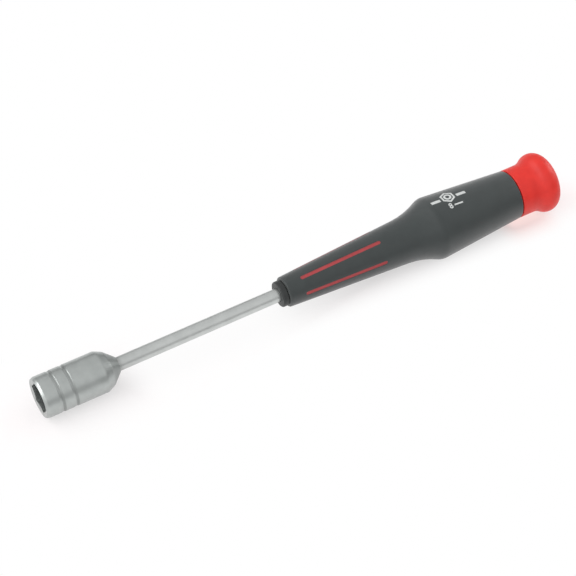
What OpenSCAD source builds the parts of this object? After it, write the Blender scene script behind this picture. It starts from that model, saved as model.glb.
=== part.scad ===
// Nut driver with a two-part handle and a finger cap that turns freely.
// The tool lies along X: the socket's mouth is at the origin and the cap is at the far end.
// All lengths are in millimetres and all angles in degrees.

/* [Socket] */
// Nut size, across the flats of the hexagon
hex_af = 8; // [6:0.5:9]
// Depth of the hexagon
hex_depth = 11; // [8:0.5:13]
// Turn of the hexagon's corners from the top
hex_turn = 36; // [0:1:59]
// Angle between the round lead-in at the hexagon's mouth and the socket's front
lead_in_angle = 13; // [8:1:30]
// Width of the ledge that the nut stops against
nut_ledge = 0.6; // [0.4:0.1:1]
// Length of the stud's clearance bore behind the hexagon
stud_bore_l = 5; // [4:0.5:6]
// Thickness of the wall between the stud's bore and the shaft
socket_floor = 1.5; // [1:0.1:2.5]
// Outer diameter of the socket
socket_d = 12; // [11.5:0.1:16]
// Length of the socket's straight barrel
barrel_l = 18.6; // [17:0.1:26]
// Length of the chamfer of the barrel's front edge
mouth_chamfer_l = 0.8; // [0.4:0.05:1]
// Angle between that chamfer and the tool's axis
mouth_chamfer_angle = 24; // [10:1:30]
// Length of the chamfer between the barrel and the cone behind it
rear_chamfer_l = 2.2; // [1:0.1:3]
// Angle between the rear chamfer and the tool's axis
rear_chamfer_angle = 25; // [15:1:30]
// Angle between the cone and the tool's axis
cone_angle = 43; // [30:1:60]
// Wall of the cone's thin end, round the shaft
neck_wall = 0.3; // [0.2:0.05:0.6]
// Distance from the mouth to the middle of the first ring groove
groove_x = 4.95; // [4:0.05:6]
// Distance between the ring grooves
groove_pitch = 3.9; // [2:0.1:5]
// Width of a ring groove
groove_w = 1.2; // [0.6:0.1:1.8]
// Depth of a ring groove
groove_depth = 0.16; // [0.08:0.02:0.4]

/* [Shaft] */
// Diameter of the shaft
shaft_d = 4; // [3.5:0.1:5]
// Length from the socket's mouth to the handle's nose
blade_l = 73.8; // [50:0.2:120]
// Length of the shaft inside the handle
shaft_tail_l = 40; // [30:1:50]
// Span of the wings that stop the shaft from turning in the handle
wing_span = 7; // [5:0.1:8]
// Thickness of the wings
wing_t = 1.2; // [0.8:0.1:2]
// Length of the wings
wing_l = 8; // [5:0.5:12]
// Distance from the wings to the shaft's rear end
wing_setback = 4; // [2:0.5:8]

/* [Nose collar] */
// Length of the collar in front of the grip
collar_l = 2; // [1.5:0.1:4]
// Diameter of the collar
collar_d = 7.6; // [7:0.1:8.4]
// Rounding of the collar's edges
collar_round = 0.4; // [0.2:0.05:0.6]
// Wall of the spigot that seats the collar in the core
spigot_wall = 0.6; // [0.5:0.05:0.8]
// Length of the spigot
spigot_l = 2.5; // [1.5:0.1:4]

/* [Grip] */
// Length of the grip
grip_l = 75.7; // [68:0.1:95]
// Diameter of the grip's front end
grip_front_d = 9; // [8.4:0.1:10.5]
// Length of the front taper
taper_l = 38; // [33:0.5:45]
// Diameter at the end of the front taper
waist_d = 13.2; // [11:0.1:14.5]
// Steepest angle of the flare between the taper and the shoulder
flare_angle = 26; // [20:1:40]
// Largest diameter of the grip, at its shoulder
shoulder_d = 18.9; // [17.6:0.1:24]
// Rounding of the shoulder
shoulder_round = 4.5; // [2:0.1:6]
// Diameter of the grip's rear end
grip_rear_d = 14.8; // [14:0.1:16]
// Rounding of the grip's front edge
grip_front_round = 0.4; // [0.2:0.05:0.6]
// Rounding of the grip's rear edge
grip_rear_round = 0.25; // [0.15:0.05:0.4]
// Thickness of the soft sleeve over the hard core
sleeve_wall = 0.9; // [0.7:0.05:1.2]
// Length of the sleeve's lip in front of the core
sleeve_lip = 0.8; // [0.5:0.1:1.2]

/* [Stripes] */
// Number of core ribs that show as stripes
stripe_count = 6; // [3:1:8]
// Width of a stripe
stripe_w = 1; // [0.6:0.1:1.6]
// Length of a stripe
stripe_l = 25.7; // [15:0.1:32]
// Distance from the grip's front edge to the stripes
stripe_x = 4.7; // [3:0.1:6]
// Turn of the first stripe from the top
stripe_phase = 17; // [0:1:59]
// Depth of a rib's root below the front of the core's surface
rib_root = 0.6; // [0.4:0.05:0.8]
// Depth of a rib's top below the grip's surface
rib_recess = 0.08; // [0.04:0.01:0.2]

/* [Cap] */
// Length of the cap
cap_l = 13.1; // [11:0.1:18]
// Diameter of the cap's neck
cap_neck_d = 14.8; // [14:0.1:16]
// Diameter of the cap's rim
cap_rim_d = 18.1; // [17.8:0.1:22]
// Rounding of the rim
rim_round = 3.5; // [2.2:0.1:3.7]
// Rounding of the hollow between the neck and the rim
neck_round = 4.9; // [2:0.1:6]
// Rounding of the cap's front edge
cap_front_round = 0.25; // [0.15:0.05:0.4]
// Width of the flat land between the rim and the end disc
rim_land = 0.6; // [0.3:0.05:0.9]
// Thickness of the end disc
disc_t = 2; // [1.4:0.1:2.4]
// Depth of the hollow for the fingertip in the end disc
dish_depth = 0.5; // [0.2:0.05:0.8]
// Width of the flat land round that hollow
dish_land = 0.8; // [0.4:0.1:1.5]
// Length of the skirt that holds the disc in the cap
skirt_l = 1.2; // [0.8:0.1:1.6]
// Wall of the skirt
skirt_wall = 0.8; // [0.6:0.05:1.2]

/* [Swivel] */
// Diameter of the pivot screw's shoulder, which the cap turns on
pivot_d = 4; // [3.2:0.1:4.4]
// Step from the shoulder down to the thread
pivot_step = 0.5; // [0.3:0.05:0.7]
// Length of the thread in the core
thread_l = 10; // [6:0.5:16]
// Diameter of the screw's head
head_d = 7; // [6.4:0.1:7.4]
// Height of the screw's head
head_t = 2.4; // [2:0.1:2.8]
// Hexagon key size of the screw
key_af = 2.5; // [2:0.5:3]
// Depth of the key's recess
key_depth = 1.3; // [1:0.1:1.6]
// Chamfer of the screw's head and tip
screw_chamfer = 0.3; // [0.2:0.05:0.4]
// Wall of the bush
bush_wall = 1; // [0.7:0.05:1.4]
// Width of the bush's flange
flange_w = 0.75; // [0.5:0.05:0.8]
// Thickness of the bush's flange
flange_t = 0.8; // [0.6:0.05:1]
// Diameter of the thrust washer
washer_d = 11; // [9:0.1:12]
// Thickness of the thrust washer
washer_t = 0.6; // [0.5:0.05:1]
// Diameter of the washer under the screw's head
head_washer_d = 7.6; // [7.5:0.05:8]
// Thickness of the washer under the screw's head
head_washer_t = 0.6; // [0.4:0.05:0.8]
// Space round that washer in the cap
head_room = 0.7; // [0.4:0.05:0.9]
// Space between the screw's head and the disc's skirt
head_gap = 0.65; // [0.4:0.05:1]
// Gap that shows between the grip and the cap
swivel_gap = 0.3; // [0.2:0.05:0.4]

/* [Fits] */
// Clearance round pieces that are pressed or moulded together
bond = 0.02; // [0.01:0.01:0.05]
// Radial clearance of the cap's bush on the pivot
pivot_play = 0.05; // [0.02:0.01:0.08]
// Play of the cap along the pivot, at each end
end_play = 0.05; // [0.03:0.01:0.1]

/* [Hidden] */

// Fineness of rounds, and steps of the arcs in the outlines
$fn = 96;
edge_steps = 5;
groove_steps = 6;
curve_steps = 10;

// How far a cut runs past the faces that it opens
overrun = 1;

// Socket
hex_sides = 6;
socket_r = socket_d / 2;
mouth_land = 0.1;
mouth_r = socket_r - mouth_chamfer_l * tan(mouth_chamfer_angle);
stud_r = hex_af / 2 - nut_ledge;
lead_in_r = mouth_r - mouth_land;
lead_in_l = (lead_in_r - stud_r) * tan(lead_in_angle);
stud_end_x = hex_depth + stud_bore_l;
shaft_front_x = stud_end_x + socket_floor;
shaft_r = shaft_d / 2;
neck_r = shaft_r + neck_wall;
cone_front_r = socket_r - rear_chamfer_l * tan(rear_chamfer_angle);
cone_front_x = barrel_l + rear_chamfer_l;
socket_end_x = cone_front_x + (cone_front_r - neck_r) / tan(cone_angle);
groove_count = 2;
groove_r = (pow(groove_w / 2, 2) + pow(groove_depth, 2)) / (2 * groove_depth);
groove_half_angle = asin(groove_w / 2 / groove_r);

// Shaft
nose_x = blade_l;
shaft_end_x = nose_x + shaft_tail_l;
wing_x = shaft_end_x - wing_setback - wing_l;

// Nose collar
collar_r = collar_d / 2;
grip_x = nose_x + collar_l;
core_x = grip_x + sleeve_lip;
collar_bore_r = shaft_r + bond;
spigot_r = collar_bore_r + spigot_wall;

// Grip and core
grip_front_r = grip_front_d / 2;
waist_r = waist_d / 2;
shoulder_r = shoulder_d / 2;
grip_rear_r = grip_rear_d / 2;
waist_x = grip_x + taper_l;
handle_end_x = grip_x + grip_l;
taper_angle = atan((waist_r - grip_front_r) / taper_l);
flare_rise = shoulder_r - waist_r - shoulder_round * (1 - cos(flare_angle));
flare_round = flare_rise / (cos(taper_angle) - cos(flare_angle));
flare_l = flare_round * (sin(flare_angle) - sin(taper_angle));
shoulder_x = waist_x + flare_l + shoulder_round * sin(flare_angle);
rear_angle = atan((shoulder_r - grip_rear_r) / (handle_end_x - shoulder_x));

// Stripes
stripe_front_x = grip_x + stripe_x;
rib_root_r = grip_front_r - sleeve_wall - rib_root;

// Cap
cap_x = handle_end_x + swivel_gap;
cap_end_x = cap_x + cap_l;
cap_neck_r = cap_neck_d / 2;
cap_rim_r = cap_rim_d / 2;
rim_angle = acos(1 - (cap_rim_r - cap_neck_r) / (neck_round + rim_round));
rim_x = cap_end_x - rim_round;
neck_end_x = rim_x - (neck_round + rim_round) * sin(rim_angle);
disc_r = cap_rim_r - rim_round - rim_land;
disc_x = cap_end_x - disc_t;
dish_r = disc_r - dish_land;
dish_ball_r = (pow(dish_r, 2) + pow(dish_depth, 2)) / (2 * dish_depth);

// Swivel
pivot_r = pivot_d / 2;
pivot_bore_r = pivot_r + pivot_play;
thread_r = pivot_r - pivot_step;
washer_r = washer_d / 2;
washer_x = cap_x - end_play - washer_t;
bush_r = pivot_bore_r + bush_wall;
flange_r = bush_r + flange_w;
head_r = head_d / 2;
head_washer_r = head_washer_d / 2;
head_end_x = disc_x - skirt_l - head_gap;
head_x = head_end_x - head_t;
head_washer_x = head_x - head_washer_t;
flange_end_x = head_washer_x - end_play;
web_end_x = flange_end_x - flange_t;
counterbore_r = head_washer_r + head_room;
skirt_r = counterbore_r - bond;

// Points of an arc round [r, x]. An angle of 0 points away from the axis and 90 towards the cap.
// Where the arc goes on from another one, first is 1, so that their shared point comes once.
function arc_points(r, x, radius, from, to, steps, first = 0) = [
    for (i = [first:steps])
        let (angle = from + (to - from) * i / steps)
        [r + radius * cos(angle), x + radius * sin(angle)]
];

// Outline of the socket, from the mouth to the cone's thin end
function groove_points(x) = arc_points(
    socket_r + groove_r - groove_depth, x, groove_r,
    180 + groove_half_angle, 180 - groove_half_angle, groove_steps
);
function socket_outline() = concat(
    [[0, 0], [mouth_r, 0], [socket_r, mouth_chamfer_l]],
    [for (i = [0:groove_count - 1]) each groove_points(groove_x + i * groove_pitch)],
    [[socket_r, barrel_l], [cone_front_r, cone_front_x]],
    [[neck_r, socket_end_x], [0, socket_end_x]]
);

// Curve of the handle between its front and rear edges: taper end, flare, shoulder
function handle_curve() = concat(
    arc_points(
        waist_r + flare_round * cos(taper_angle), waist_x - flare_round * sin(taper_angle), flare_round,
        180 - taper_angle, 180 - flare_angle, curve_steps
    ),
    arc_points(
        shoulder_r - shoulder_round, shoulder_x, shoulder_round,
        -flare_angle, rear_angle, curve_steps, first = 1
    )
);
function grip_outline() = concat(
    [[0, grip_x]],
    arc_points(
        grip_front_r - grip_front_round, grip_x + grip_front_round, grip_front_round, -90, 0, edge_steps
    ),
    handle_curve(),
    arc_points(
        grip_rear_r - grip_rear_round, handle_end_x - grip_rear_round, grip_rear_round, 0, 90, edge_steps
    ),
    [[0, handle_end_x]]
);

// Outline of the core under the sleeve, grown by a gap and lengthened at its rear end
function core_outline(gap, extra) = concat(
    [[0, core_x - gap], [grip_front_r - sleeve_wall + gap, core_x - gap]],
    [for (p = handle_curve()) [p[0] - sleeve_wall + gap, p[1]]],
    [[grip_rear_r - sleeve_wall + gap, handle_end_x]],
    [[grip_rear_r - sleeve_wall + gap, handle_end_x + extra], [0, handle_end_x + extra]]
);

function cap_outline() = concat(
    [[0, cap_x]],
    arc_points(cap_neck_r - cap_front_round, cap_x + cap_front_round, cap_front_round, -90, 0, edge_steps),
    arc_points(cap_neck_r + neck_round, neck_end_x, neck_round, 180, 180 - rim_angle, curve_steps),
    arc_points(cap_rim_r - rim_round, rim_x, rim_round, -rim_angle, 90, 2 * curve_steps, first = 1),
    [[0, cap_end_x]]
);

// A shape turned about the tool's axis, from an outline of [r, x] points
module turned(outline) {
    rotate([0, 90, 0])
        rotate_extrude()
            polygon(outline);
}

// A round rod on the tool's axis
module rod(x, length, r) {
    translate([x, 0, 0])
        rotate([0, 90, 0])
            cylinder(h = length, r = r);
}

// A cone on the tool's axis
module cone(x, length, front_r, rear_r) {
    translate([x, 0, 0])
        rotate([0, 90, 0])
            cylinder(h = length, r1 = front_r, r2 = rear_r);
}

// A hexagonal rod on the tool's axis, with its corners turned from the top
module hex_rod(x, length, af, turn = 0) {
    translate([x, 0, 0])
        rotate([turn, 0, 0])
            rotate([0, 90, 0])
                cylinder(h = length, r = af / 2 / cos(180 / hex_sides), $fn = hex_sides);
}

// A flat ring on the tool's axis
module ring(x, length, r, bore_r) {
    difference() {
        rod(x, length, r);
        rod(x - overrun, length + 2 * overrun, bore_r);
    }
}

// The wings on the shaft, grown by a gap
module wings(gap) {
    translate([wing_x - gap, -wing_span / 2 - gap, -wing_t / 2 - gap])
        cube([wing_l + 2 * gap, wing_span + 2 * gap, wing_t + 2 * gap]);
}

// Round-ended bars that stand out from the core along the stripes, grown by a gap
module stripe_bars(gap) {
    bar_r = stripe_w / 2 + gap;
    bar_l = stripe_l - stripe_w;
    for (i = [0:stripe_count - 1])
        rotate([stripe_phase + i * 360 / stripe_count, 0, 0])
            translate([stripe_front_x + stripe_w / 2, 0, rib_root_r])
                linear_extrude(height = shoulder_r)
                    union() {
                        translate([0, -bar_r])
                            square([bar_l, 2 * bar_r]);
                        circle(r = bar_r);
                        translate([bar_l, 0])
                            circle(r = bar_r);
                    }
}

module socket() {
    color("silver")
        difference() {
            turned(socket_outline());
            cone(-overrun, overrun + lead_in_l, lead_in_r + overrun / tan(lead_in_angle), stud_r);
            hex_rod(-overrun, overrun + hex_depth, hex_af, hex_turn);
            rod(hex_depth - overrun, overrun + stud_bore_l, stud_r);
            rod(shaft_front_x, socket_end_x - shaft_front_x + overrun, shaft_r + bond);
        }
}

module shaft() {
    color("lightgray")
        union() {
            rod(shaft_front_x, shaft_end_x - shaft_front_x, shaft_r);
            wings(0);
        }
}

module nose_collar() {
    color("dimgray")
        difference() {
            union() {
                turned(concat(
                    [[0, nose_x]],
                    arc_points(collar_r - collar_round, nose_x + collar_round, collar_round, -90, 0, edge_steps),
                    arc_points(collar_r - collar_round, grip_x - collar_round, collar_round, 0, 90, edge_steps),
                    [[0, grip_x]]
                ));
                rod(grip_x - collar_round, collar_round + spigot_l, spigot_r);
            }
            rod(nose_x - overrun, collar_l + spigot_l + 2 * overrun, collar_bore_r);
        }
}

module handle_core() {
    color("crimson")
        difference() {
            union() {
                turned(core_outline(0, 0));
                intersection() {
                    turned(core_outline(sleeve_wall - rib_recess, 0));
                    stripe_bars(0);
                }
            }
            rod(grip_x, spigot_l, spigot_r + bond);
            rod(grip_x, shaft_end_x - grip_x + bond, shaft_r + bond);
            wings(bond);
            rod(washer_x - thread_l - bond, thread_l + bond + overrun, thread_r + bond);
            rod(washer_x, handle_end_x - washer_x + overrun, washer_r + bond);
        }
}

module grip_sleeve() {
    color("darkslategray")
        difference() {
            turned(grip_outline());
            turned(core_outline(bond, overrun));
            rod(grip_x - overrun, overrun + sleeve_lip, spigot_r + bond);
            stripe_bars(bond);
        }
}

module thrust_washer() {
    color("ivory")
        ring(washer_x, washer_t, washer_r, pivot_bore_r);
}

module pivot_screw() {
    color("gainsboro")
        difference() {
            union() {
                cone(washer_x - thread_l, screw_chamfer, thread_r - screw_chamfer, thread_r);
                rod(washer_x - thread_l + screw_chamfer, thread_l - screw_chamfer, thread_r);
                rod(washer_x, head_x - washer_x, pivot_r);
                rod(head_x, head_t - screw_chamfer, head_r);
                cone(head_end_x - screw_chamfer, screw_chamfer, head_r, head_r - screw_chamfer);
            }
            hex_rod(head_end_x - key_depth, key_depth + overrun, key_af);
        }
}

module cap_bush() {
    color("goldenrod")
        difference() {
            union() {
                rod(cap_x + end_play, web_end_x - cap_x - end_play, bush_r);
                rod(web_end_x, flange_t, flange_r);
            }
            rod(cap_x - overrun, flange_end_x - cap_x + 2 * overrun, pivot_bore_r);
        }
}

module head_washer() {
    color("whitesmoke")
        ring(head_washer_x, head_washer_t, head_washer_r, pivot_bore_r);
}

module swivel_cap() {
    color("red")
        difference() {
            turned(cap_outline());
            rod(cap_x - overrun, web_end_x - cap_x + 2 * overrun, bush_r + bond);
            rod(web_end_x, disc_x - web_end_x + overrun, counterbore_r);
            rod(disc_x, disc_t + overrun, disc_r);
        }
}

module cap_disc() {
    color("firebrick")
        difference() {
            union() {
                rod(disc_x, disc_t, disc_r - bond);
                ring(disc_x - skirt_l, skirt_l, skirt_r, skirt_r - skirt_wall);
            }
            translate([cap_end_x - dish_depth + dish_ball_r, 0, 0])
                sphere(r = dish_ball_r);
        }
}

socket();
shaft();
nose_collar();
handle_core();
grip_sleeve();
thrust_washer();
pivot_screw();
cap_bush();
head_washer();
swivel_cap();
cap_disc();
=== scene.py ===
# Looks of the nut driver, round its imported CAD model.
# The tool lies along X: the socket's mouth is at the origin and the cap is at the far end.
import math

import bpy
from mathutils import Matrix, Vector


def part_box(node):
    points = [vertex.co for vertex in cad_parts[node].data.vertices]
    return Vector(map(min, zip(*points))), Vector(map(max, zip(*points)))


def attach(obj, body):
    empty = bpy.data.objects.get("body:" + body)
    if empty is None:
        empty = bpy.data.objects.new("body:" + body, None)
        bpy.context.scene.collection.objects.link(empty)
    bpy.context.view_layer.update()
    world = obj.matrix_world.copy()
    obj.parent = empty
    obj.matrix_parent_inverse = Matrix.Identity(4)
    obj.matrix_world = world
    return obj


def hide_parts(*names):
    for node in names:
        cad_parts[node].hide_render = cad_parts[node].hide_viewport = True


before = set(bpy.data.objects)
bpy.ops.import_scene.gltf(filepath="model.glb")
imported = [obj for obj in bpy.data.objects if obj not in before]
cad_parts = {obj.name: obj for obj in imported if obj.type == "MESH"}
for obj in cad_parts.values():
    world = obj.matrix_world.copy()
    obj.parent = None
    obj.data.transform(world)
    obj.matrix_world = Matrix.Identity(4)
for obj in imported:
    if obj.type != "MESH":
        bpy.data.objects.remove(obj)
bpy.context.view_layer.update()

# Sizes are written in millimetres and used in metres
MM = 0.001

# Places along the axis that the frame gives
mouth_x, socket_end_x = (corner.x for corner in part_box("socket"))
shaft_x, shaft_end_x = (corner.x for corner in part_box("shaft"))
collar_x, spigot_end_x = (corner.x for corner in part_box("nose_collar"))
grip_x, grip_end_x = (corner.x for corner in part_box("grip_sleeve"))
cap_x, cap_end_x = (corner.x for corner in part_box("swivel_cap"))
skirt_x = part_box("cap_disc")[0].x
bush_end_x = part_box("cap_bush")[1].x

# Fineness of the turned pieces: faces round the axis, degrees per step of an arc, steps of a rounded
# corner, and the angle from which an edge stays sharp
ROUND_FACES = 160
SLIM_FACES = 96
ARC_STEP = 6
EDGE_STEPS = 2
SOFT_EDGE_STEPS = 4
SHARP_EDGE = math.radians(24)

# Making: points closer than this are merged, an outline grows from a plane of this size, and a cutter
# reaches this far past the face that it cuts
WELD = 0.0005 * MM
SEED = 1 * MM
OVERRUN = 1 * MM

# Clearance round pieces that are pressed or moulded together
BOND = 0.02 * MM

# Socket
HEX_SIDES = 6
HEX_AF = 8 * MM
HEX_R = HEX_AF / 2 / math.cos(math.pi / HEX_SIDES)
HEX_DEPTH = 11 * MM
HEX_TURN = math.radians(36)
HEX_CORNER = 0.25 * MM
HEX_CORNER_FACES = 4
STUD_R = 3.4 * MM
STUD_END_X = 16 * MM
DRILL_TIP = 1.1 * MM
SOCKET_R = 6 * MM
MOUTH_CHAMFER_L = 0.8 * MM
MOUTH_CHAMFER_ANGLE = math.radians(24)
MOUTH_R = SOCKET_R - MOUTH_CHAMFER_L * math.tan(MOUTH_CHAMFER_ANGLE)
MOUTH_LAND = 0.1 * MM
LEAD_IN_ANGLE = math.radians(13)
BARREL_END_X = 18.6 * MM
CONE_FRONT_X = 20.8 * MM
REAR_CHAMFER_ANGLE = math.radians(25)
NECK_WALL = 0.3 * MM
TURNED_EDGE = 0.12 * MM
REAR_EDGE = 1.6 * MM
CONE_EDGE = 0.8 * MM
GROOVE_XS = (4.95 * MM, 8.85 * MM)
GROOVE_W = 1.2 * MM
GROOVE_DEPTH = 0.16 * MM

# Shaft
SHAFT_R = 2 * MM
SHAFT_CHAMFER = 0.3 * MM
WING_SPAN = 7 * MM
WING_T = 1.2 * MM
WING_X = 101.8 * MM
WING_L = 8 * MM

# Nose collar
COLLAR_R = 3.8 * MM
COLLAR_ROUND = 0.4 * MM
SPIGOT_R = 2.62 * MM

# Grip, with the flare's angle in degrees
GRIP_FRONT_R = 4.5 * MM
GRIP_FRONT_ROUND = 0.4 * MM
WAIST_X = 113.8 * MM
WAIST_R = 6.6 * MM
FLARE_ANGLE = 26
SHOULDER_R = 9.45 * MM
SHOULDER_ROUND = 4.5 * MM
GRIP_REAR_R = 7.4 * MM
GRIP_REAR_ROUND = 0.25 * MM
SLEEVE_WALL = 0.9 * MM
SLEEVE_LIP = 0.8 * MM

# Stripes, with the first one's angle round the axis in degrees
STRIPE_COUNT = 6
STRIPE_W = 1 * MM
STRIPE_L = 25.7 * MM
STRIPE_X = 4.7 * MM
STRIPE_PHASE = 17
RIB_ROOT_R = 3 * MM
RIB_END_FACES = 10

# Cap and its end disc
CAP_NECK_R = 7.4 * MM
CAP_RIM_R = 9.05 * MM
CAP_FRONT_ROUND = 0.25 * MM
NECK_ROUND = 4.9 * MM
RIM_ROUND = 3.5 * MM
RIM_EDGE = 0.15 * MM
BUSH_R = 3.05 * MM
FLANGE_T = 0.8 * MM
COUNTERBORE_R = 4.5 * MM
DISC_R = 4.95 * MM
DISC_T = 2 * MM
DISH_R = 4.15 * MM
DISH_DEPTH = 0.5 * MM
DISH_STEPS = 8
SKIRT_WALL = 0.8 * MM

# Printed mark on top of the grip: a nut between two bars, and the nut size and a line below it. It is
# drawn flat above the grip first, at MARK_Z.
MARK_X = 130.3 * MM
MARK_Y = 0.6 * MM
MARK_Z = SHOULDER_R + 1 * MM
NUT_MARK_R = 2.3 * MM
NUT_MARK_HOLE_R = 1.2 * MM
NUT_MARK_HOLE_SIDES = 32
NUT_MARK_RISE = 0.5 * MM
MARK_LINE = 0.6 * MM
MARK_BAR_L = 3 * MM
MARK_BAR_T = 1 * MM
MARK_BAR_GAP = 0.4 * MM
NUMBER = "8"
NUMBER_HEIGHT = 2.4 * MM
NUMBER_WEIGHT = 0.05 * MM
NUMBER_CURVE_STEPS = 4
NUMBER_SHIFT = -0.9 * MM
NUMBER_DROP = 3 * MM
SIZE_LINE_L = 2.8 * MM
SIZE_LINE_T = 0.45 * MM
SIZE_LINE_SHIFT = 1.7 * MM
MARK_CUTS = 5
INK_PROUD = 0.02 * MM
INK_T = 0.035 * MM

# Painted shade on the plating where dark reflections and shadow fall, as (place, share of its colour). On a
# groove's rear wall the place is counted from the groove's centre in groove widths, and on the shaft from
# the socket's end.
GROOVE_PAINTED_SHADES = ((-0.25, 1), (0.05, 0.66), (0.5, 0.66), (7 / 12, 1))
SHAFT_PAINTED_SHADES = ((0.3 * MM, 0.72), (1.1 * MM, 0.88), (4 * MM, 0.95), (16 * MM, 1))
CHAMFER_PAINTED_SHADE = 0.97
CONE_PAINTED_SHADE = 0.65
PAINTED_SHADE_BLEND = 0.8 * MM

# The part of a noise's range that a finish uses
NOISE_LOW = 0.3
NOISE_HIGH = 0.7

# View: the photo's frame is square
SENSOR = 36
LENS = 125
CLIP_START = 10 * MM
CAMERA_PLACE = Vector((-100.1, -334.6, 414.9)) * MM
CAMERA_AIM = Vector((76.83, -0.55, 1.72)) * MM

# Table: its size, how far it reaches in front of the tool, its colour, and where the shoulder rests on it
WHITE = (1, 1, 1, 1)
TABLE_SIZE = 8
TABLE_FRONT = 50 * MM
TABLE_SHIFT = TABLE_SIZE / 2 - TABLE_FRONT
TABLE_COLOUR = (0.975, 0.915, 0.92, 1)
REST_X = 125.2 * MM

# How white the table is in the tool's shadow, and how wide the shadow is at two places
SHADOW_WHITE = 0.5
SHADOW_XS = (24 * MM, 75 * MM)
SHADOW_WIDTHS = (22 * MM, 12 * MM)

# The shaft's fainter shadow: its white, and where it sets in and ends
SHAFT_SHADOW_WHITE = 0.9
SHAFT_SHADOW_START = (21 * MM, 34 * MM)
SHAFT_SHADOW_END = (64 * MM, 112 * MM)

# How far from the tool's middle the shadow fades out
TOOL_MIDDLE_X = 82 * MM
TOOL_REACH = (95 * MM, 150 * MM)

# Red glow of the cap, painted as reflected light into the table's white under its neck
GLOW = (1, 0.76, 0.73, 1)
GLOW_X = 156 * MM
GLOW_REACH = (3 * MM, 11 * MM)
GLOW_WIDTH = 13 * MM

# Light of the studio: its strength at the left and the right, and its share of that in front and behind
LIGHT_LEFT_RIGHT = (0.86, 0.36)
LIGHT_FRONT_BACK = (1.07, 0.79)


# Modelling steps

def pick(piece):
    """Makes one piece the only one that operators act on."""
    bpy.ops.object.select_all(action="DESELECT")
    piece.select_set(True)
    bpy.context.view_layer.objects.active = piece


def settle(name):
    """Names the piece that was just added and puts its place into its mesh."""
    piece = bpy.context.object
    piece.name = name
    bpy.ops.object.transform_apply(location=True, rotation=True, scale=True)
    return piece


def weld():
    """Merges the points that meet, in edit mode."""
    bpy.ops.mesh.select_all(action="SELECT")
    bpy.ops.mesh.remove_doubles(threshold=WELD)


def arc(x, r, radius, start, end):
    """Points of an arc round (x, r). 0 degrees points away from the axis and 90 towards the cap."""
    steps = max(2, math.ceil(abs(end - start) / ARC_STEP))
    angles = [math.radians(start + (end - start) * i / steps) for i in range(steps + 1)]
    return [(x + radius * math.sin(angle), r + radius * math.cos(angle)) for angle in angles]


def eased(before, corner, after, radius, steps=EDGE_STEPS):
    """Points that round one corner of an outline."""
    to_before = (Vector(before) - Vector(corner)).normalized()
    to_after = (Vector(after) - Vector(corner)).normalized()
    half = to_before.angle(to_after) / 2
    centre = Vector(corner) + (to_before + to_after).normalized() * radius / math.sin(half)
    start = Vector(corner) + to_before * radius / math.tan(half) - centre
    end = Vector(corner) + to_after * radius / math.tan(half) - centre
    spokes = [start.lerp(end, i / steps).normalized() * radius for i in range(steps + 1)]
    return [tuple(centre + spoke) for spoke in spokes]


def turn(name, outline, faces=ROUND_FACES):
    """A piece turned about the tool's axis, from an outline of (x, radius) points."""
    bpy.ops.object.select_all(action="DESELECT")
    x, r = outline[0]
    bpy.ops.mesh.primitive_plane_add(size=SEED, location=(x, 0, r))
    piece = settle(name)
    bpy.ops.object.mode_set(mode="EDIT")
    bpy.ops.mesh.select_all(action="SELECT")
    bpy.ops.mesh.merge(type="CENTER")
    for next_x, next_r in outline[1:]:
        bpy.ops.mesh.extrude_region_move(TRANSFORM_OT_translate={"value": (next_x - x, 0, next_r - r)})
        x, r = next_x, next_r
    bpy.ops.mesh.select_all(action="SELECT")
    bpy.ops.mesh.spin(steps=faces, angle=2 * math.pi, center=(0, 0, 0), axis=(1, 0, 0))
    weld()
    bpy.ops.mesh.normals_make_consistent(inside=False)
    bpy.ops.object.mode_set(mode="OBJECT")
    return piece


def round_edges(piece, axis, length, radius, faces):
    """Rounds the edges of the active piece that run along one axis for more than half a length."""
    bpy.ops.object.mode_set(mode="EDIT")
    bpy.ops.mesh.select_mode(type="EDGE")
    bpy.ops.mesh.select_all(action="DESELECT")
    bpy.ops.object.mode_set(mode="OBJECT")
    for edge in piece.data.edges:
        first, second = (getattr(piece.data.vertices[i].co, axis) for i in edge.vertices)
        edge.select = abs(first - second) > length / 2
    bpy.ops.object.mode_set(mode="EDIT")
    bpy.ops.mesh.bevel(offset=radius, segments=faces, affect="EDGES")
    bpy.ops.mesh.select_mode(type="VERT")
    bpy.ops.object.mode_set(mode="OBJECT")


def combine(piece, tool, operation):
    """Cuts a tool out of a piece, or joins it on, removes the tool and merges the points that meet."""
    pick(piece)
    bpy.ops.object.modifier_add(type="BOOLEAN")
    modifier = piece.modifiers[-1]
    modifier.operation = operation
    modifier.solver = "EXACT"
    modifier.object = tool
    bpy.ops.object.modifier_apply(modifier=modifier.name)
    bpy.data.objects.remove(tool)
    bpy.ops.object.mode_set(mode="EDIT")
    weld()
    bpy.ops.object.mode_set(mode="OBJECT")


def finish_piece(piece, finish, body, slot, *nodes):
    """Smooths a piece, gives it its finish and puts it on its body in place of the CAD nodes."""
    pick(piece)
    bpy.ops.object.shade_smooth_by_angle(angle=SHARP_EDGE)
    piece.data.materials.clear()
    piece.data.materials.append(finish)
    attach(piece, body)
    if nodes:
        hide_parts(*nodes)


# Socket and shaft

def groove(x):
    """Outline of a ring groove."""
    radius = ((GROOVE_W / 2) ** 2 + GROOVE_DEPTH ** 2) / (2 * GROOVE_DEPTH)
    half = math.degrees(math.asin(GROOVE_W / 2 / radius))
    return arc(x, SOCKET_R + radius - GROOVE_DEPTH, radius, 180 + half, 180 - half)


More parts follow.
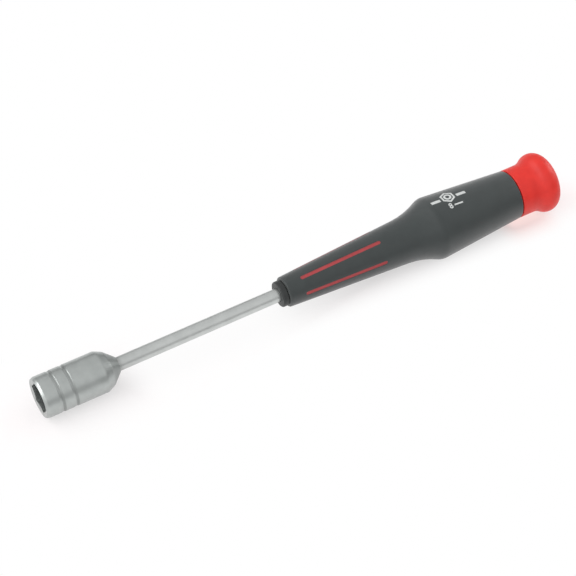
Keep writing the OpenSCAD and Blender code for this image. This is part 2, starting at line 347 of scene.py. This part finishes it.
def socket_outline():
    """Outline of the socket ahead of its cuts, from its mouth to its neck."""
    middle = (mouth_x, 0)
    face = (mouth_x, MOUTH_R)
    front_edge = (mouth_x + MOUTH_CHAMFER_L, SOCKET_R)
    rear_edge = (BARREL_END_X, SOCKET_R)
    cone_drop = (CONE_FRONT_X - BARREL_END_X) * math.tan(REAR_CHAMFER_ANGLE)
    cone_edge = (CONE_FRONT_X, SOCKET_R - cone_drop)
    neck = (socket_end_x, SHAFT_R + NECK_WALL)
    outline = [middle]
    outline += eased(middle, face, front_edge, TURNED_EDGE)
    outline += eased(face, front_edge, rear_edge, TURNED_EDGE)
    for x in GROOVE_XS:
        outline += groove(x)
    outline += eased(front_edge, rear_edge, cone_edge, REAR_EDGE, SOFT_EDGE_STEPS)
    outline += eased(rear_edge, cone_edge, neck, CONE_EDGE, SOFT_EDGE_STEPS)
    return outline + [neck, (socket_end_x, 0)]


def hexagon_broach():
    """A hexagon bar with the small corner rounds that a broach leaves."""
    bpy.ops.object.select_all(action="DESELECT")
    bpy.ops.mesh.primitive_cylinder_add(
        vertices=HEX_SIDES, radius=HEX_R, depth=HEX_DEPTH + OVERRUN,
        location=((HEX_DEPTH - OVERRUN) / 2, 0, 0), rotation=(0, math.pi / 2, 0)
    )
    broach = settle("hexagon_broach")
    broach.rotation_euler.x = math.pi / HEX_SIDES + HEX_TURN
    bpy.ops.object.transform_apply(location=True, rotation=True, scale=True)
    round_edges(broach, "x", HEX_DEPTH, HEX_CORNER, HEX_CORNER_FACES)
    return broach


def make_socket(finish):
    socket = turn("socket_barrel", socket_outline())

    # Bore for the shaft, from behind
    bore_r = SHAFT_R + BOND
    bore_end_x = socket_end_x + OVERRUN
    bore = turn("shaft_bore", [
        (shaft_x, 0), (shaft_x, bore_r), (bore_end_x, bore_r), (bore_end_x, 0)
    ], SLIM_FACES)
    combine(socket, bore, "DIFFERENCE")

    # Stud bore with its drilled end
    stud_x = HEX_DEPTH - OVERRUN
    stud = turn("stud_bore", [
        (stud_x, 0), (stud_x, STUD_R), (STUD_END_X - DRILL_TIP, STUD_R), (STUD_END_X, 0)
    ], SLIM_FACES)
    combine(socket, stud, "DIFFERENCE")

    # Round lead-in of the hexagon
    lead_in_r = MOUTH_R - MOUTH_LAND
    lead_in_end_x = (lead_in_r - STUD_R) * math.tan(LEAD_IN_ANGLE)
    overrun_r = lead_in_r + OVERRUN / math.tan(LEAD_IN_ANGLE)
    lead_in = turn("lead_in", [
        (-OVERRUN, 0), (-OVERRUN, overrun_r), (lead_in_end_x, STUD_R), (lead_in_end_x, 0)
    ])
    combine(socket, lead_in, "DIFFERENCE")

    combine(socket, hexagon_broach(), "DIFFERENCE")
    finish_piece(socket, finish, "driver", "socket_steel", "socket")


def make_shaft(finish):
    outline = [
        (shaft_x, 0),
        (shaft_x, SHAFT_R - SHAFT_CHAMFER),
        (shaft_x + SHAFT_CHAMFER, SHAFT_R),
        (shaft_end_x - SHAFT_CHAMFER, SHAFT_R),
        (shaft_end_x, SHAFT_R - SHAFT_CHAMFER),
        (shaft_end_x, 0),
    ]
    shaft = turn("shaft_rod", outline, SLIM_FACES)
    bpy.ops.object.select_all(action="DESELECT")
    bpy.ops.mesh.primitive_cube_add(
        size=1, location=(WING_X + WING_L / 2, 0, 0), scale=(WING_L, WING_SPAN, WING_T)
    )
    wings = settle("shaft_wings")
    combine(shaft, wings, "UNION")
    finish_piece(shaft, finish, "driver", "shaft_steel", "shaft")


# Handle

def make_collar(finish):
    outline = [(collar_x, SHAFT_R + BOND)]
    outline += arc(collar_x + COLLAR_ROUND, COLLAR_R - COLLAR_ROUND, COLLAR_ROUND, -90, 0)
    outline += arc(grip_x - COLLAR_ROUND, COLLAR_R - COLLAR_ROUND, COLLAR_ROUND, 0, 90)
    outline += [(grip_x, SPIGOT_R), (spigot_end_x, SPIGOT_R), (spigot_end_x, SHAFT_R + BOND)]
    outline += [outline[0]]
    collar = turn("nose_ring", outline, SLIM_FACES)
    finish_piece(collar, finish, "driver", "collar_plastic", "nose_collar")


def handle_curve():
    """Outline of the handle from the end of its front taper, over the flare, to the shoulder."""
    taper = math.atan((WAIST_R - GRIP_FRONT_R) / (WAIST_X - grip_x))
    flare = math.radians(FLARE_ANGLE)
    flare_rise = SHOULDER_R - WAIST_R - SHOULDER_ROUND * (1 - math.cos(flare))
    flare_round = flare_rise / (math.cos(taper) - math.cos(flare))
    flare_l = flare_round * (math.sin(flare) - math.sin(taper))
    shoulder_x = WAIST_X + flare_l + SHOULDER_ROUND * math.sin(flare)
    rear = math.degrees(math.atan((SHOULDER_R - GRIP_REAR_R) / (grip_end_x - shoulder_x)))
    hollow = arc(
        WAIST_X - flare_round * math.sin(taper), WAIST_R + flare_round * math.cos(taper), flare_round,
        180 - math.degrees(taper), 180 - FLARE_ANGLE
    )
    shoulder = arc(shoulder_x, SHOULDER_R - SHOULDER_ROUND, SHOULDER_ROUND, -FLARE_ANGLE, rear)
    return hollow + shoulder[1:]


def stripe_bar(angle):
    """A round-ended bar that cuts one stripe's slot through the grip."""
    bpy.ops.object.select_all(action="DESELECT")
    bar_w = STRIPE_W + 2 * BOND
    bar_l = STRIPE_L + 2 * BOND
    height = SHOULDER_R - RIB_ROOT_R
    bpy.ops.mesh.primitive_cube_add(
        size=1, location=(grip_x + STRIPE_X + STRIPE_L / 2, 0, RIB_ROOT_R + height / 2),
        scale=(bar_l, bar_w, height)
    )
    bar = settle("stripe_bar")
    round_edges(bar, "z", height, bar_w / 2 - WELD, RIB_END_FACES)
    bar.rotation_euler.x = math.radians(angle)
    bpy.ops.object.transform_apply(location=True, rotation=True, scale=True)
    return bar


def make_grip(finish):
    curve = handle_curve()
    inner = SLEEVE_WALL - BOND
    core_x = grip_x + SLEEVE_LIP - BOND
    outline = [(grip_x, SPIGOT_R + BOND)]
    outline += arc(grip_x + GRIP_FRONT_ROUND, GRIP_FRONT_R - GRIP_FRONT_ROUND, GRIP_FRONT_ROUND, -90, 0)
    outline += curve
    outline += arc(grip_end_x - GRIP_REAR_ROUND, GRIP_REAR_R - GRIP_REAR_ROUND, GRIP_REAR_ROUND, 0, 90)
    outline += [(grip_end_x, GRIP_REAR_R - inner)]
    outline += [(x, r - inner) for x, r in reversed(curve)]
    outline += [(core_x, GRIP_FRONT_R - inner), (core_x, SPIGOT_R + BOND), outline[0]]
    grip = turn("soft_grip", outline)
    for i in range(STRIPE_COUNT):
        combine(grip, stripe_bar(STRIPE_PHASE + i * 360 / STRIPE_COUNT), "DIFFERENCE")
    finish_piece(grip, finish, "driver", "grip_rubber", "grip_sleeve")
    return grip


# Cap

def make_cap(finish):
    rim_angle = math.degrees(math.acos(1 - (CAP_RIM_R - CAP_NECK_R) / (NECK_ROUND + RIM_ROUND)))
    rim_x = cap_end_x - RIM_ROUND
    neck_end_x = rim_x - (NECK_ROUND + RIM_ROUND) * math.sin(math.radians(rim_angle))
    web_end_x = bush_end_x - FLANGE_T
    disc_x = cap_end_x - DISC_T
    seat_edge = (cap_end_x, DISC_R)
    outline = [(cap_x, BUSH_R + BOND)]
    outline += arc(cap_x + CAP_FRONT_ROUND, CAP_NECK_R - CAP_FRONT_ROUND, CAP_FRONT_ROUND, -90, 0)
    outline += arc(neck_end_x, CAP_NECK_R + NECK_ROUND, NECK_ROUND, 180, 180 - rim_angle)
    outline += arc(rim_x, CAP_RIM_R - RIM_ROUND, RIM_ROUND, -rim_angle, 90)[1:]
    outline += eased((cap_end_x, CAP_RIM_R), seat_edge, (disc_x, DISC_R), RIM_EDGE)
    outline += [(disc_x, DISC_R), (disc_x, COUNTERBORE_R), (web_end_x, COUNTERBORE_R)]
    outline += [(web_end_x, BUSH_R + BOND), outline[0]]
    cap = turn("finger_cap", outline)
    finish_piece(cap, finish, "cap", "cap_plastic", "swivel_cap")


def make_end_disc(finish):
    ball_r = (DISH_R ** 2 + DISH_DEPTH ** 2) / (2 * DISH_DEPTH)
    dish = math.asin(DISH_R / ball_r)
    dish_x = cap_end_x - DISH_DEPTH
    disc_x = cap_end_x - DISC_T
    skirt_r = COUNTERBORE_R - BOND
    outer_r = DISC_R - BOND
    angles = [dish * i / DISH_STEPS for i in range(DISH_STEPS + 1)]
    outline = [(dish_x + ball_r * (1 - math.cos(angle)), ball_r * math.sin(angle)) for angle in angles]
    outline += eased(outline[-1], (cap_end_x, outer_r), (disc_x, outer_r), RIM_EDGE)
    outline += [
        (disc_x, outer_r),
        (disc_x, skirt_r),
        (skirt_x, skirt_r),
        (skirt_x, skirt_r - SKIRT_WALL),
        (disc_x, skirt_r - SKIRT_WALL),
        (disc_x, 0),
    ]
    disc = turn("end_disc", outline)
    finish_piece(disc, finish, "cap", "cap_plastic", "cap_disc")


# Printed mark

def mark_ring(name, sides, outer_r):
    """A flat ring of the mark, ahead of its projection onto the grip."""
    bpy.ops.object.select_all(action="DESELECT")
    centre = (MARK_X, MARK_Y + NUT_MARK_RISE, MARK_Z)
    bpy.ops.mesh.primitive_circle_add(vertices=sides, radius=outer_r, location=centre)
    ring = settle(name)
    share = (outer_r - MARK_LINE) / outer_r
    bpy.ops.object.mode_set(mode="EDIT")
    bpy.ops.mesh.select_all(action="SELECT")
    bpy.ops.mesh.extrude_region_move(TRANSFORM_OT_translate={"value": (0, 0, 0)})
    bpy.ops.transform.resize(value=(share, share, 1), center_override=centre)
    bpy.ops.object.mode_set(mode="OBJECT")
    return ring


def mark_bar(name, x, y, length, width):
    """A flat bar of the mark."""
    bpy.ops.object.select_all(action="DESELECT")
    bpy.ops.mesh.primitive_plane_add(size=1, location=(x, y, MARK_Z))
    bpy.context.object.scale = (length, width, 1)
    return settle(name)


def mark_number():
    """The nut size, as a flat mesh."""
    bpy.ops.object.select_all(action="DESELECT")
    bpy.ops.object.text_add(location=(MARK_X + NUMBER_SHIFT, MARK_Y - NUMBER_DROP, MARK_Z))
    number = bpy.context.object
    number.data.body = NUMBER
    number.data.size = NUMBER_HEIGHT
    number.data.align_x = "CENTER"
    number.data.align_y = "CENTER"
    number.data.offset = NUMBER_WEIGHT
    number.data.resolution_u = NUMBER_CURVE_STEPS
    bpy.ops.object.convert(target="MESH")
    return settle("size_number")


def make_mark(finish, grip):
    side = NUT_MARK_R + MARK_BAR_GAP + MARK_BAR_L / 2
    shapes = [
        mark_ring("nut_outline", HEX_SIDES, NUT_MARK_R),
        mark_ring("nut_hole", NUT_MARK_HOLE_SIDES, NUT_MARK_HOLE_R),
        mark_bar("left_bar", MARK_X - side, MARK_Y, MARK_BAR_L, MARK_BAR_T),
        mark_bar("right_bar", MARK_X + side, MARK_Y, MARK_BAR_L, MARK_BAR_T),
        mark_bar("size_line", MARK_X + SIZE_LINE_SHIFT, MARK_Y - NUMBER_DROP, SIZE_LINE_L, SIZE_LINE_T),
        mark_number(),
    ]
    bpy.ops.object.select_all(action="DESELECT")
    for shape in shapes:
        shape.select_set(True)
    mark = shapes[0]
    bpy.context.view_layer.objects.active = mark
    bpy.ops.object.join()
    mark.name = "size_mark"

    # Fine faces, so that the ink follows the grip's round
    bpy.ops.object.mode_set(mode="EDIT")
    bpy.ops.mesh.select_all(action="SELECT")
    bpy.ops.mesh.quads_convert_to_tris()
    bpy.ops.mesh.subdivide(number_cuts=MARK_CUTS)
    weld()
    bpy.ops.mesh.normals_make_consistent(inside=False)
    bpy.ops.object.mode_set(mode="OBJECT")

    # The flat shapes drop onto the grip, and then get the ink's thickness
    bpy.ops.object.modifier_add(type="SHRINKWRAP")
    wrap = mark.modifiers[-1]
    wrap.target = grip
    wrap.wrap_method = "PROJECT"
    wrap.use_project_z = True
    wrap.use_negative_direction = True
    wrap.use_positive_direction = False
    wrap.offset = INK_PROUD
    bpy.ops.object.modifier_apply(modifier=wrap.name)
    bpy.ops.object.modifier_add(type="SOLIDIFY")
    film = mark.modifiers[-1]
    film.thickness = INK_T
    film.offset = -1
    bpy.ops.object.modifier_apply(modifier=film.name)
    finish_piece(mark, finish, "driver", None)


# Finishes

class Finish:
    """A material under way: its nodes, its shader, and where its pattern reads from."""

    def __init__(self, name):
        self.material = bpy.data.materials.new(name)
        self.material.use_nodes = True
        self.nodes = self.material.node_tree.nodes
        self.links = self.material.node_tree.links
        self.shader = self.nodes["Principled BSDF"]
        self.place = self.nodes.new("ShaderNodeTexCoord").outputs["Object"]

    def stretched(self, along, across):
        """Object coordinates stretched along and across the tool's axis."""
        mapping = self.nodes.new("ShaderNodeMapping")
        mapping.inputs["Scale"].default_value = (along, across, across)
        self.links.new(self.place, mapping.inputs["Vector"])
        return mapping.outputs["Vector"]

    def grain(self, size, detail, along=1.0, across=1.0):
        """Noise whose grains are about the given size."""
        noise = self.nodes.new("ShaderNodeTexNoise")
        noise.inputs["Scale"].default_value = 1 / size
        noise.inputs["Detail"].default_value = detail
        self.links.new(self.stretched(along, across), noise.inputs["Vector"])
        return noise.outputs["Fac"]

    def tint(self, factor, dark, light):
        """Base colour between two tones."""
        ramp = self.nodes.new("ShaderNodeValToRGB")
        ramp.color_ramp.elements[0].position = NOISE_LOW
        ramp.color_ramp.elements[0].color = (*dark, 1)
        ramp.color_ramp.elements[1].position = NOISE_HIGH
        ramp.color_ramp.elements[1].color = (*light, 1)
        self.links.new(factor, ramp.inputs["Fac"])
        self.links.new(ramp.outputs["Color"], self.shader.inputs["Base Color"])

    def paint_shade_along(self, stops):
        """Paints shade into the base colour along the tool's axis, by (x, share) stops."""
        place = self.nodes.new("ShaderNodeSeparateXYZ")
        self.links.new(self.place, place.inputs["Vector"])
        first_x, last_x = stops[0][0], stops[-1][0]
        along = self.nodes.new("ShaderNodeMapRange")
        along.inputs["From Min"].default_value = first_x
        along.inputs["From Max"].default_value = last_x
        self.links.new(place.outputs["X"], along.inputs["Value"])
        ramp = self.nodes.new("ShaderNodeValToRGB")
        for x, _ in stops[1:-1]:
            ramp.color_ramp.elements.new((x - first_x) / (last_x - first_x))
        for element, (_, share) in zip(ramp.color_ramp.elements, stops):
            element.color = (share, share, share, 1)
        self.links.new(along.outputs["Result"], ramp.inputs["Fac"])
        mix = self.nodes.new("ShaderNodeMix")
        mix.data_type = "RGBA"
        mix.blend_type = "MULTIPLY"
        mix.inputs["Factor"].default_value = 1
        colour = self.shader.inputs["Base Color"]
        self.links.new(colour.links[0].from_socket, mix.inputs["A"])
        self.links.new(ramp.outputs["Color"], mix.inputs["B"])
        self.links.new(mix.outputs["Result"], colour)

    def gloss(self, factor, low, high):
        """Roughness between two values."""
        spread = self.nodes.new("ShaderNodeMapRange")
        spread.inputs["From Min"].default_value = NOISE_LOW
        spread.inputs["From Max"].default_value = NOISE_HIGH
        spread.inputs["To Min"].default_value = low
        spread.inputs["To Max"].default_value = high
        self.links.new(factor, spread.inputs["Value"])
        self.links.new(spread.outputs["Result"], self.shader.inputs["Roughness"])

    def relief(self, factor, depth, strength):
        """Fine relief of the surface."""
        bump = self.nodes.new("ShaderNodeBump")
        bump.inputs["Distance"].default_value = depth
        bump.inputs["Strength"].default_value = strength
        self.links.new(factor, bump.inputs["Height"])
        self.links.new(bump.outputs["Normal"], self.shader.inputs["Normal"])


def satin_chrome(name, dark, light, stops):
    """Satin plating with a fine brushed grain round the axis, and painted shade along it."""
    finish = Finish(name)
    finish.shader.inputs["Metallic"].default_value = 1
    finish.tint(finish.grain(size=3 * MM, detail=3), dark, light)
    finish.paint_shade_along(stops)
    finish.gloss(finish.grain(size=0.6 * MM, detail=3, across=0.3), low=0.3, high=0.4)
    finish.relief(finish.grain(size=0.09 * MM, detail=1, across=0.08), depth=0.003 * MM, strength=0.15)
    return finish.material


def soft_touch_rubber():
    finish = Finish("soft_touch_rubber")
    finish.tint(finish.grain(size=4 * MM, detail=4), dark=(0.02, 0.027, 0.027), light=(0.025, 0.033, 0.033))
    finish.gloss(finish.grain(size=0.5 * MM, detail=3), low=0.38, high=0.48)
    finish.relief(finish.grain(size=0.16 * MM, detail=2), depth=0.02 * MM, strength=0.3)
    finish.shader.inputs["Specular IOR Level"].default_value = 0.56
    finish.shader.inputs["Sheen Weight"].default_value = 0.3
    finish.shader.inputs["Sheen Roughness"].default_value = 0.5
    return finish.material


def moulded_plastic(name, dark, light, low, high):
    finish = Finish(name)
    finish.tint(finish.grain(size=3 * MM, detail=3), dark, light)
    finish.gloss(finish.grain(size=0.7 * MM, detail=3), low, high)
    finish.relief(finish.grain(size=0.3 * MM, detail=2), depth=0.01 * MM, strength=0.2)
    return finish.material


def turned_metal(name, dark, light):
    finish = Finish(name)
    finish.shader.inputs["Metallic"].default_value = 1
    finish.tint(finish.grain(size=1 * MM, detail=2), dark, light)
    finish.gloss(finish.grain(size=0.15 * MM, detail=2, across=0.1), low=0.22, high=0.36)
    finish.relief(finish.grain(size=0.1 * MM, detail=1, across=0.1), depth=0.003 * MM, strength=0.2)
    return finish.material


def printing_ink():
    finish = Finish("printing_ink")
    finish.tint(finish.grain(size=0.35 * MM, detail=3), dark=(0.52, 0.54, 0.53), light=(0.68, 0.7, 0.69))
    finish.gloss(finish.grain(size=0.2 * MM, detail=2), low=0.45, high=0.6)
    finish.relief(finish.grain(size=0.12 * MM, detail=2), depth=0.004 * MM, strength=0.3)
    return finish.material


def socket_painted_shades():
    """Painted shade on the socket's plating where dark reflections and shadow fall: darker on the rear
    walls of the grooves, on the rear chamfer and on the cone.
    """
    stops = [(mouth_x, 1)]
    for groove_x in GROOVE_XS:
        stops += [(groove_x + GROOVE_W * place, share) for place, share in GROOVE_PAINTED_SHADES]
    return stops + [
        (BARREL_END_X, 1),
        (BARREL_END_X + PAINTED_SHADE_BLEND, CHAMFER_PAINTED_SHADE),
        (CONE_FRONT_X - PAINTED_SHADE_BLEND / 2, CHAMFER_PAINTED_SHADE),
        (CONE_FRONT_X + PAINTED_SHADE_BLEND / 2, CONE_PAINTED_SHADE),
        (socket_end_x, CONE_PAINTED_SHADE),
    ]


def shaft_painted_shades():
    """Painted shade on the shaft's plating, darker just behind the socket where the socket shades it."""
    stops = [(shaft_x, SHAFT_PAINTED_SHADES[0][1])]
    stops += [(socket_end_x + place, share) for place, share in SHAFT_PAINTED_SHADES]
    return stops + [(shaft_end_x, 1)]


# Studio

class Setting:
    """The emptied node tree of the table or the world, and sums on its shader values."""

    def __init__(self, tree):
        tree.nodes.clear()
        self.nodes = tree.nodes
        self.links = tree.links

    def split(self, coordinates):
        """The X and Y values of one kind of texture coordinates."""
        place = self.nodes.new("ShaderNodeSeparateXYZ")
        source = self.nodes.new("ShaderNodeTexCoord").outputs[coordinates]
        self.links.new(source, place.inputs["Vector"])
        return place.outputs["X"], place.outputs["Y"]

    def sum(self, operation, first, second=None):
        """One sum on a shader value. The second value is a number or another shader value."""
        step = self.nodes.new("ShaderNodeMath")
        step.operation = operation
        self.links.new(first, step.inputs[0])
        if isinstance(second, (int, float)):
            step.inputs[1].default_value = second
        elif second:
            self.links.new(second, step.inputs[1])
        return step.outputs[0]

    def distance(self, value, centre):
        """How far a shader value is from a number."""
        return self.sum("ABSOLUTE", self.sum("SUBTRACT", value, centre))

    def spread(self, value, start, end, low, high):
        """A shader value that goes from low to high while another one goes from start to end."""
        step = self.nodes.new("ShaderNodeMapRange")
        step.interpolation_type = "SMOOTHSTEP"
        step.inputs["From Min"].default_value = start
        step.inputs["From Max"].default_value = end
        step.inputs["To Min"].default_value = low
        step.inputs["To Max"].default_value = high
        self.links.new(value, step.inputs["Value"])
        return step.outputs["Result"]

    def show(self, output, share, first, second):
        """Sends a mix of two shaders to the output."""
        mix = self.nodes.new("ShaderNodeMixShader")
        self.links.new(share, mix.inputs["Fac"])
        self.links.new(first, mix.inputs[1])
        self.links.new(second, mix.inputs[2])
        self.links.new(mix.outputs["Shader"], self.nodes.new(output).inputs["Surface"])


def table_white(setting, along, aside):
    """How far the table washes out to white: more beside the tool, past its ends and under its shaft."""
    width = setting.spread(along, *SHADOW_XS, *SHADOW_WIDTHS)
    side = setting.spread(setting.sum("DIVIDE", aside, width), 0, 1, SHADOW_WHITE, 1)
    start = setting.spread(along, *SHAFT_SHADOW_START, SHADOW_WHITE, SHAFT_SHADOW_WHITE)
    end = setting.spread(along, *SHAFT_SHADOW_END, SHAFT_SHADOW_WHITE, SHADOW_WHITE)
    shaft = setting.sum("MINIMUM", start, end)
    ends = setting.spread(setting.distance(along, TOOL_MIDDLE_X), *TOOL_REACH, SHADOW_WHITE, 1)
    return setting.sum("MAXIMUM", setting.sum("MAXIMUM", side, shaft), ends)


def cap_glow(setting, along, aside):
    """How much of the cap's red glow is painted into the table's white."""
    near = setting.spread(setting.distance(along, GLOW_X), *GLOW_REACH, 1, 0)
    return setting.sum("MULTIPLY", near, setting.spread(aside, 0, GLOW_WIDTH, 1, 0))


def seen_rays(setting):
    """1 for the rays of the camera, of reflections and of clear parts, and 0 for light on the object."""
    path = setting.nodes.new("ShaderNodeLightPath")
    seen = path.outputs["Is Camera Ray"]
    for other in ("Is Glossy Ray", "Is Transmission Ray"):
        seen = setting.sum("MAXIMUM", seen, path.outputs[other])
    return seen


def make_floor(tilt):
    bpy.ops.object.select_all(action="DESELECT")
    bpy.ops.mesh.primitive_plane_add(
        size=TABLE_SIZE, location=(0, TABLE_SHIFT, -SOCKET_R), rotation=(0, tilt, 0)
    )
    floor = bpy.context.object
    floor.name = "white_table"
    material = bpy.data.materials.new("white_table")
    material.use_nodes = True
    setting = Setting(material.node_tree)

    # Where a point of the table lies: along the tool, and how far to either side of it
    along, across = setting.split("Object")
    aside = setting.sum("ABSOLUTE", setting.sum("ADD", across, TABLE_SHIFT))

    # The table as the light falls on it, and as plain white with the cap's glow painted into it
    lit = setting.nodes.new("ShaderNodeBsdfDiffuse")
    lit.inputs["Color"].default_value = TABLE_COLOUR
    white = setting.nodes.new("ShaderNodeEmission")
    glow = cap_glow(setting, along, aside)
    tinge = setting.nodes.new("ShaderNodeMix")
    tinge.data_type = "RGBA"
    tinge.inputs["A"].default_value = WHITE
    tinge.inputs["B"].default_value = GLOW
    setting.links.new(glow, tinge.inputs["Factor"])
    setting.links.new(tinge.outputs["Result"], white.inputs["Color"])

    share = setting.sum("MAXIMUM", table_white(setting, along, aside), glow)
    share = setting.sum("MULTIPLY", seen_rays(setting), share)
    setting.show("ShaderNodeOutputMaterial", share, lit.outputs["BSDF"], white.outputs["Emission"])
    floor.data.materials.append(material)


def make_world():
    world = bpy.data.worlds.new("white_studio")
    bpy.context.scene.world = world
    world.use_nodes = True
    setting = Setting(world.node_tree)

    # Light on the object, which changes from left to right and from front to back
    sideways, depthways = setting.split("Generated")
    strength = setting.spread(sideways, -1, 1, *LIGHT_LEFT_RIGHT)
    depth = setting.spread(depthways, -1, 1, *LIGHT_FRONT_BACK)
    light = setting.nodes.new("ShaderNodeBackground")
    light.inputs["Color"].default_value = WHITE
    setting.links.new(setting.sum("MULTIPLY", strength, depth), light.inputs["Strength"])

    # Plain white for the camera
    white = setting.nodes.new("ShaderNodeBackground")
    white.inputs["Color"].default_value = WHITE
    seen = setting.nodes.new("ShaderNodeLightPath").outputs["Is Camera Ray"]
    setting.show("ShaderNodeOutputWorld", seen, light.outputs["Background"], white.outputs["Background"])


def softbox(name, place, aim, size, radiance):
    """A rectangular lamp that looks as bright as the given share of white."""
    bpy.ops.object.select_all(action="DESELECT")
    bpy.ops.object.light_add(type="AREA", location=place)
    lamp = bpy.context.object
    lamp.name = name
    lamp.data.shape = "RECTANGLE"
    lamp.data.size, lamp.data.size_y = size
    lamp.data.energy = radiance * math.pi * size[0] * size[1]
    lamp.rotation_euler = (Vector(aim) - Vector(place)).to_track_quat("-Z", "Y").to_euler()


def make_camera(tilt):
    bpy.ops.object.select_all(action="DESELECT")
    bpy.ops.object.camera_add()
    camera = bpy.context.object
    camera.data.sensor_width = SENSOR
    camera.data.lens = LENS
    camera.data.clip_start = CLIP_START
    table_up = Vector((math.sin(tilt), 0, math.cos(tilt)))
    backward = (CAMERA_PLACE - CAMERA_AIM).normalized()
    right = table_up.cross(backward).normalized()
    up = backward.cross(right)
    facing = Matrix((right, up, backward)).transposed().to_4x4()
    camera.matrix_world = Matrix.Translation(CAMERA_PLACE) @ facing
    bpy.context.scene.camera = camera


# Making it all

# The socket's colour carries painted shade along its axis.
socket_chrome = satin_chrome(
    "socket_chrome", dark=(0.43, 0.455, 0.445), light=(0.49, 0.515, 0.505), stops=socket_painted_shades()
)
# The shaft's colour carries painted shade just behind the socket.
shaft_chrome = satin_chrome(
    "shaft_chrome", dark=(0.56, 0.58, 0.57), light=(0.62, 0.64, 0.63), stops=shaft_painted_shades()
)
cap_red = moulded_plastic(
    "cap_red", dark=(0.66, 0.0145, 0.0075), light=(0.735, 0.021, 0.011), low=0.4, high=0.48
)
core_red = moulded_plastic(
    "core_red", dark=(0.34, 0.036, 0.041), light=(0.4, 0.046, 0.051), low=0.42, high=0.55
)
collar_black = moulded_plastic(
    "collar_black", dark=(0.018, 0.02, 0.02), light=(0.026, 0.029, 0.029), low=0.4, high=0.5
)
acetal = moulded_plastic("acetal", dark=(0.74, 0.73, 0.68), light=(0.8, 0.79, 0.75), low=0.4, high=0.5)
zinc = turned_metal("zinc_plate", dark=(0.5, 0.5, 0.52), light=(0.62, 0.62, 0.63))
brass = turned_metal("turned_brass", dark=(0.62, 0.46, 0.2), light=(0.74, 0.56, 0.27))

make_socket(socket_chrome)
make_shaft(shaft_chrome)
make_collar(collar_black)
soft_grip = make_grip(soft_touch_rubber())
make_cap(cap_red)
make_end_disc(cap_red)
make_mark(printing_ink(), soft_grip)

# Pieces that stay as the CAD made them
cad_finishes = {
    "handle_core": core_red,
    "thrust_washer": acetal,
    "pivot_screw": zinc,
    "head_washer": zinc,
    "cap_bush": brass,
}
for node, finish in cad_finishes.items():
    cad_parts[node].data.materials.clear()
    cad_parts[node].data.materials.append(finish)

# The tool lies on its socket and on the grip's shoulder, so the table is tilted against its axis
table_tilt = math.atan((SHOULDER_R - SOCKET_R) / (REST_X - mouth_x))
make_floor(table_tilt)
make_world()
softbox("ceiling", place=(0.1, 0.1, 1.2), aim=(0.1, 0.1, 0), size=(6, 6), radiance=0.33)
softbox("left_key", place=(-0.55, 0.22, 0.7), aim=(0, 0, 0), size=(1.2, 0.35), radiance=2.5)
softbox("cap_card", place=(0.282, 0.007, 0.055), aim=(0.162, 0, 0.003), size=(0.08, 0.08), radiance=3.0)
make_camera(table_tilt)

bpy.context.scene.view_settings.view_transform = "Standard"
